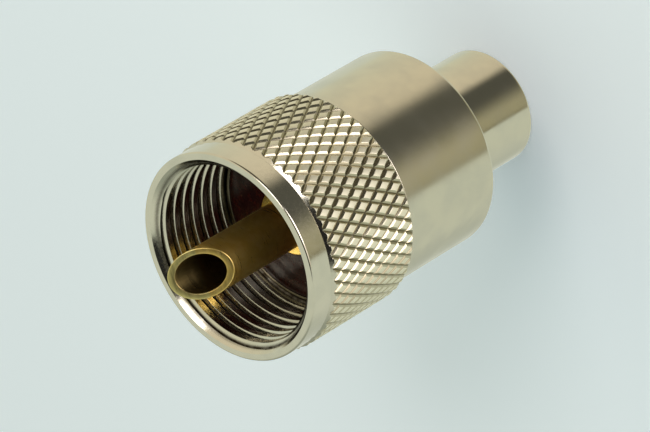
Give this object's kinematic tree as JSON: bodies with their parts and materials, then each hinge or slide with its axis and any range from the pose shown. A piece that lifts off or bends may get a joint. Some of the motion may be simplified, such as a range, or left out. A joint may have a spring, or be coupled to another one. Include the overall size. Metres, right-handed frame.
{
  "type": "uhf coaxial plug",
  "caption": "Coaxial cable plug with a hollow centre contact in a dark bush and a loose knurled coupling ring, on a stepped round body with a cable bore in its tail.",
  "frame": {"origin": "centre of the tail's end face, on which the plug stands", "axes": "+Z along the plug's axis from the tail to the centre contact; -Y is where the contact's slanted tip opens"},
  "size_m": [0.0178, 0.0178, 0.0358],
  "materials": {
    "body_nickel": "satin nickel plate over turned brass",
    "ring_nickel": "bright nickel plate over turned and knurled brass",
    "pin_brass": "bare turned brass with a gold wash",
    "bush_resin": "dark red moulded phenolic resin",
    "clip_spring": "spring strip"
  },
  "bodies": {
    "plug": {"plug_body": "body_nickel", "insulator": "bush_resin", "centre_pin": "pin_brass"},
    "clip": {"snap_ring": "clip_spring"},
    "ring": {"coupling_ring": "ring_nickel"}
  },
  "joints": [
    {"name": "ring_slide", "type": "slide", "parent": "plug", "child": "clip", "axis": [0, 0, 1], "range_m": [0, 0.0012]},
    {"name": "ring_spin", "type": "hinge", "parent": "clip", "child": "ring", "pos_m": [0, 0, 0.0204], "axis": [0, 0, 1], "continuous": true}
  ]
}
